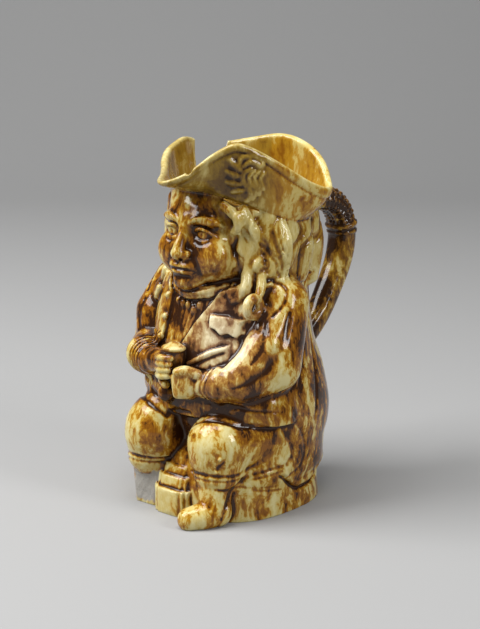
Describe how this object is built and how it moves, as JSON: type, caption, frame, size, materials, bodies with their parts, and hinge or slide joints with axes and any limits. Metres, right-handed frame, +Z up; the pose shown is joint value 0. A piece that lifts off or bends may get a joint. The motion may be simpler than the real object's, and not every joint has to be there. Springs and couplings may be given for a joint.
{
  "type": "toby jug",
  "caption": "Slip-cast glazed jug in the form of a seated man in a cocked hat, with a pouring corner in the brim and a loop handle behind.",
  "frame": {"origin": "middle of the flat underside, on the upright axis of the body", "axes": "+Z up, the figure faces -Y, the handle is on the +Y side, +X is the figure's left"},
  "size_m": [0.1314, 0.1942, 0.24],
  "materials": {
    "glazed_body": "gloss, mottled brown over cream"
  },
  "bodies": {
    "root": {"toby_jug": "glazed_body"}
  },
  "joints": []
}
